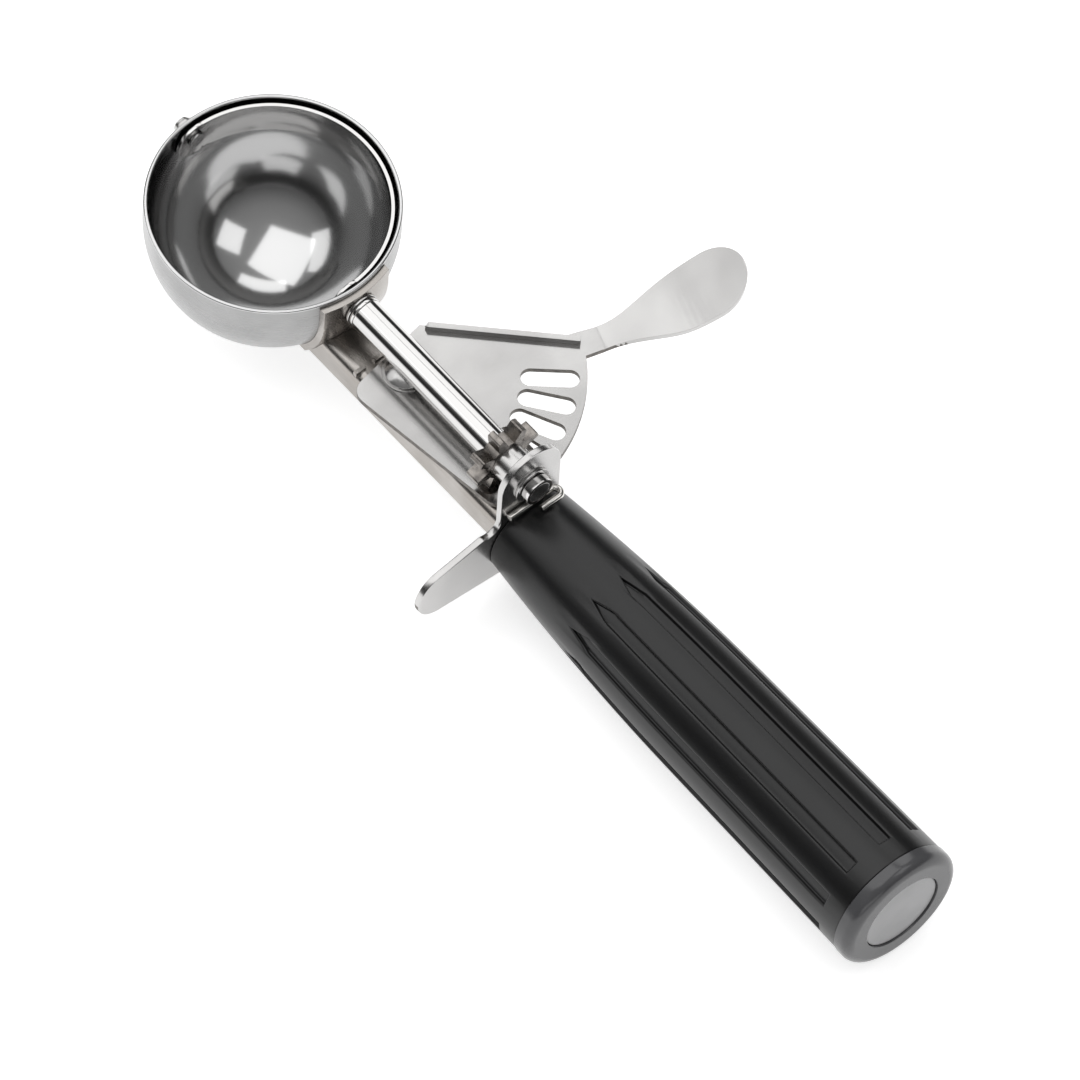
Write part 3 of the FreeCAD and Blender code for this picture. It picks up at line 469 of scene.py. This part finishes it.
def cut_away(piece, cutter):
    """Cut one piece from another and drop the cutter."""
    applied(piece, "BOOLEAN", operation="DIFFERENCE", object=cutter, solver="EXACT")
    bpy.data.objects.remove(cutter, do_unlink=True)


def drill(piece, start_x, length, radius):
    """Bore a hole along the blade's axis."""
    bpy.ops.object.select_all(action="DESELECT")
    bpy.ops.mesh.primitive_cylinder_add(vertices=BORE_STEPS, radius=radius * MM, depth=length * MM,
                                        location=((start_x + length / 2) * MM, 0, AXIS_Z * MM),
                                        rotation=(0, math.pi / 2, 0))
    cut_away(piece, bpy.context.object)


def make_bowl(outside, inside):
    """The spun bowl: half a ball with a straight wall, satin outside and polished inside."""
    quarter = [math.radians(90 * k / BOWL_ARC_STEPS) for k in range(BOWL_ARC_STEPS + 1)]
    outer = [(BOWL_R * math.sin(a), 0, AXIS_Z - BOWL_R * math.cos(a)) for a in quarter]
    inner = [(BOWL_RI * math.sin(a), 0, AXIS_Z - BOWL_RI * math.cos(a)) for a in reversed(quarter)]
    rim = [(BOWL_R, 0, 0), (BOWL_RI, 0, 0)]
    piece = spun("bowl_spun", outer + rim + inner, ((0, 0, 1), (0, 0, 0)), TURN_STEPS, False)
    rounded(piece, RIM_EDGE, 3)
    drill(piece, 0, 2 * BOWL_R, NEAR_BORE_R)
    drill(piece, -2 * BOWL_R, 2 * BOWL_R, FAR_BORE_R)
    settled(piece, "bowl", "frame", outside)
    piece.data.materials.append(inside)
    centre = Vector((0, 0, AXIS_Z)) * MM
    for face in piece.data.polygons:
        away = Vector(face.center) - centre
        if away.z > 0:
            away.z = 0
        if face.normal.dot(away) < INSIDE_TILT * away.length or face.center.z > -RIM_BAND:
            face.material_index = 1


def grip_stations():
    """The grip's outline: an arc that swells from the guard, then a long straight taper."""
    ax, ar = GRIP_FRONT_X, GRIP_FRONT_R
    cx, cr = GRIP_MID_X, GRIP_MID_R
    bx, br = ax + (cx - ax) * GRIP_SWELL[0], ar + (cr - ar) * GRIP_SWELL[1]
    marks = [GRIP_FRONT_X + k * GRIP_ROW for k in range(int((FLUTE_START_X - ax) / GRIP_ROW))]
    marks += [FLUTE_START_X, FLUTE_START_X + FLUTE_POINT_ROOM * FLUTE_POINT_L]
    row = marks[-1] + GRIP_ROW
    while row < FLUTE_END_X - GRIP_ROW / 2:
        marks.append(row)
        row += GRIP_ROW
    marks += [FLUTE_END_X, GRIP_REAR_X]
    rear = (GRIP_REAR_R - GRIP_MID_R) / (GRIP_REAR_X - GRIP_MID_X)
    stations = []
    for x in marks:
        if x < GRIP_MID_X:
            a = ar * (x - bx) * (x - cx) / ((ax - bx) * (ax - cx))
            b = br * (x - ax) * (x - cx) / ((bx - ax) * (bx - cx))
            c = cr * (x - ax) * (x - bx) / ((cx - ax) * (cx - bx))
            stations.append((x, a + b + c))
        else:
            stations.append((x, GRIP_MID_R + (x - GRIP_MID_X) * rear))
    return stations


def column_offset(place):
    """How many columns a place is from the nearest flute's centre line."""
    bearing = math.degrees(math.atan2(-place.y, place.z - GRIP_Z * MM)) - FLUTE_PHASE_DEG
    pitch = 360 / FLUTES
    off = (bearing + pitch / 2) % pitch - pitch / 2
    return off / pitch * FLUTE_PITCH_COLUMNS


def make_grip(finish):
    """Moulded grip: spun body whose flutes are pressed in between its columns of faces."""
    stations = grip_stations()
    points = [(GRIP_FRONT_X, 0, GRIP_Z)] + [(x, 0, GRIP_Z + r) for x, r in stations]
    points.append((GRIP_REAR_X, 0, GRIP_Z))
    phase = math.radians(FLUTE_PHASE_DEG)
    turn = Matrix.Rotation(phase, 3, "X")
    middle = Vector((0, 0, GRIP_Z))
    points = [tuple(middle + turn @ (Vector(p) - middle)) for p in points]
    steps = FLUTES * FLUTE_PITCH_COLUMNS
    piece = spun("handle_grip_moulded", points, ((1, 0, 0), (0, 0, GRIP_Z)), steps, False)
    half = FLUTE_COLUMNS / 2
    bpy.ops.object.mode_set(mode="EDIT")
    bpy.ops.mesh.select_mode(type="FACE")
    bpy.ops.mesh.select_all(action="DESELECT")
    bpy.ops.object.mode_set(mode="OBJECT")
    for face in piece.data.polygons:
        inside = FLUTE_START_X * MM < face.center.x < FLUTE_END_X * MM
        face.select = inside and abs(column_offset(face.center)) < half
    bpy.ops.object.mode_set(mode="EDIT")
    bpy.ops.mesh.extrude_region_shrink_fatten(
        TRANSFORM_OT_shrink_fatten={"value": -FLUTE_DEPTH * MM, "use_even_offset": False})
    bpy.ops.mesh.select_mode(type="VERT")
    bpy.ops.object.mode_set(mode="OBJECT")
    for vertex in piece.data.vertices:
        off = abs(column_offset(vertex.co))
        is_start = abs(vertex.co.x - FLUTE_START_X * MM) < FLUTE_TIP_REACH * MM
        if is_start and off < half + FLUTE_TIP_COLUMNS:
            vertex.co.x += FLUTE_POINT_L * MM * off / half
    rounded(piece, MOULD_EDGE, 3)
    end_x, half_width, low, high = TANG_SOCKET
    bpy.ops.object.select_all(action="DESELECT")
    bpy.ops.mesh.primitive_cube_add(size=MM, location=(end_x / 2 * MM, 0, (low + high) / 2 * MM),
                                    scale=(end_x, 2 * half_width, high - low))
    cut_away(piece, bpy.context.object)
    return settled(piece, "handle_grip", "frame", finish)


def make_cap(finish, disc_finish):
    """End cap with its rounded edge and recess, and the disc let into it."""
    start = GRIP_REAR_X + CAP_GAP
    arc = [math.radians(90 * k / CAP_ARC_STEPS) for k in range(CAP_ARC_STEPS + 1)]
    stations = [(start, 0.0), (start, CAP_R)]
    stations += [(CAP_END_X - CAP_EDGE_R + CAP_EDGE_R * math.sin(a),
                  CAP_R - CAP_EDGE_R + CAP_EDGE_R * math.cos(a)) for a in arc]
    floor_x = CAP_END_X - DISC_SINK - DISC_T
    recess_r = DISC_R + DISC_GAP
    stations += [(CAP_END_X, recess_r), (floor_x, recess_r), (floor_x, 0.0)]
    turned("end_cap", "frame", finish, stations, GRIP_Z, FINE_EDGE, TURN_STEPS, False)
    face_x = CAP_END_X - DISC_SINK
    stations = [(floor_x, 0.0), (floor_x, DISC_R), (face_x, DISC_R), (face_x, 0.0)]
    turned("cap_disc", "frame", disc_finish, stations, GRIP_Z, DISC_EDGE, TURN_STEPS, False)


def camera():
    """The photograph's view: a long lens that looks down over the butt."""
    azimuth = math.radians(VIEW_AZIMUTH_DEG)
    elevation = math.radians(VIEW_ELEVATION_DEG)
    back = Vector((math.cos(azimuth) * math.cos(elevation), math.sin(azimuth) * math.cos(elevation),
                   math.sin(elevation)))
    up = (Vector((0, 0, 1)) - back * back.z).normalized()
    up = Matrix.Rotation(math.radians(VIEW_ROLL_DEG), 3, back) @ up
    right = up.cross(back)
    data = bpy.data.cameras.new("camera")
    data.sensor_width = SENSOR
    data.lens = PX_PER_MM / MM * VIEW_DISTANCE / IMAGE_PX * SENSOR
    data.clip_end = VIEW_REACH
    made = bpy.data.objects.new("camera", data)
    bpy.context.collection.objects.link(made)
    turn = Matrix((right, up, back)).transposed().to_4x4()
    made.matrix_world = Matrix.Translation(VIEW_TARGET + back * VIEW_DISTANCE) @ turn
    bpy.context.scene.camera = made


def floor():
    """Pale plain floor that goes to white in the picture and in metal, and keeps its shadow."""
    low = CAD_BOX[0].z
    bpy.ops.object.select_all(action="DESELECT")
    bpy.ops.mesh.primitive_plane_add(size=FLOOR_SIZE, location=(0, 0, low - FLOOR_GAP))
    made = bpy.context.object
    made.name = "floor"
    paint, tree, shader = material("floor_paint", "#f2f2f2", 0.0, 0.9)
    path = add(tree, "ShaderNodeLightPath")
    shiny = add(tree, "ShaderNodeMath", {"operation": "MAXIMUM"},
                {0: path.outputs["Is Glossy Ray"], 1: path.outputs["Is Transmission Ray"]})
    seen = add(tree, "ShaderNodeMath", {"operation": "MAXIMUM"},
               {0: path.outputs["Is Camera Ray"], 1: shiny.outputs["Value"]})
    glow = add(tree, "ShaderNodeMath", {"operation": "MULTIPLY", 1: FLOOR_GLOW},
               {0: seen.outputs["Value"]})
    shader.inputs["Emission Color"].default_value = (1.0, 1.0, 1.0, 1.0)
    tree.links.new(glow.outputs["Value"], shader.inputs["Emission Strength"])
    made.data.materials.append(paint)


def softbox(name, direction, distance, size, brightness):
    """A rectangular soft lamp in one direction from the scoop, of a given surface brightness."""
    data = bpy.data.lights.new(name, "AREA")
    data.shape = "RECTANGLE"
    data.size, data.size_y = size
    data.energy = brightness * math.pi * size[0] * size[1]
    made = bpy.data.objects.new(name, data)
    bpy.context.collection.objects.link(made)
    middle = Vector(LAMP_AIM)
    away = Vector(direction).normalized()
    made.location = middle + away * distance
    made.rotation_euler = (-away).to_track_quat("-Z", "Y").to_euler()


def studio():
    """Soft lamps in a room that is pale at the horizon, dark above it and grey overhead."""
    for lamp in LAMPS:
        softbox(*lamp)
    world = bpy.data.worlds.new("studio")
    bpy.context.scene.world = world
    world.use_nodes = True
    tree = world.node_tree
    tree.nodes.clear()
    place = add(tree, "ShaderNodeTexCoord")
    parts = add(tree, "ShaderNodeSeparateXYZ", links={"Vector": place.outputs["Generated"]})
    ramp = add(tree, "ShaderNodeValToRGB", links={"Fac": parts.outputs["Z"]})
    points = ramp.color_ramp.elements
    points[0].position = 0.0
    points[0].color = linear(ROOM_HORIZON)
    points[1].position = 1.0
    points[1].color = linear(ROOM_TOP)
    for position, colour in ROOM_BANDS:
        points.new(position).color = linear(colour)
    path = add(tree, "ShaderNodeLightPath")
    shiny = add(tree, "ShaderNodeMath", {"operation": "MAXIMUM"},
                {0: path.outputs["Is Glossy Ray"], 1: path.outputs["Is Transmission Ray"]})
    seen = add(tree, "ShaderNodeMath", {"operation": "MAXIMUM"},
               {0: path.outputs["Is Camera Ray"], 1: shiny.outputs["Value"]})
    room = add(tree, "ShaderNodeMix", {"data_type": "RGBA", 6: linear(ROOM_FILL)},
               {0: seen.outputs["Value"], 7: ramp.outputs["Color"]})
    light = add(tree, "ShaderNodeBackground", links={"Color": room.outputs[2]})
    add(tree, "ShaderNodeOutputWorld", links={"Surface": light.outputs["Background"]})


def second_finish(piece, finish, wanted):
    """Give the faces that a test picks a second material."""
    piece.data.materials.append(finish)
    for face in piece.data.polygons:
        if wanted(face):
            face.material_index = 1


def main():
    bpy.context.scene.view_settings.view_transform = "Standard"
    camera()
    floor()
    studio()
    sheet = bright_sheet()
    mirror = mirror_stainless()
    # painted dark reflection for the nut's end face
    black = painted_dark_nut_end()
    wire = spring_wire()
    nickel = nickel_plate()
    make_bowl(spun_stainless(), polished_bowl_steel())
    make_grip(black_polypropylene())
    make_cap(gloss_abs(), satin_abs())
    tube("shaft_sleeve", mirror, SLEEVE)
    tube("sleeve_collar", mirror, COLLAR)
    tube("pinion_hub", sheet, HUB)
    # the darker sheared-edge finish, also used as painted shade under the guard
    edge = sheared_edge_and_painted_shade()
    stem = drawn_stem()
    for node in ("bowl_saddle", "stem_channel"):
        dressed(node, "frame", stem, SHEET_EDGE)
    guard = dressed("guard_plate", "frame", sheet, SHEET_EDGE)
    # painted shade: the guard's downward-facing edges get the dark edge colour
    second_finish(guard, edge, lambda face: abs(face.normal.x) < EDGE_ON and face.normal.z < 0)
    for node in ("near_bush", "far_bush", "pivot_rivet", "pivot_washer", "tang_bar", "tang_rivets"):
        dressed(node, "frame", sheet, FINE_EDGE)
    dressed("wire_clip", "frame", wire, FINE_EDGE)
    spring = dressed("return_spring", None, wire, FINE_EDGE)
    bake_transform(spring)
    dressed("ear_bush", "frame", sheet, FINE_EDGE)
    dressed("scraper_blade", "blade", mirror, FINE_EDGE)
    for node in ("blade_shaft", "far_pin"):
        dressed(node, "blade", sheet, FINE_EDGE)
    dressed("pinion", "blade", nickel, FINE_EDGE)
    nut = dressed("shaft_end_nut", "blade", mirror, FINE_EDGE)
    # the nut's end face gets the painted dark reflection
    second_finish(nut, black, lambda face: face.normal.x > END_ON)
    lever = dressed("lever_plate", "lever", lever_sheet(), SHEET_EDGE)
    low, high = PLATE_Z
    second_finish(lever, edge,
                  lambda face: low < face.center.z / MM < high and abs(face.normal.z) < LEVEL)
    dressed("hub_washer", "lever", sheet, FINE_EDGE)


main()
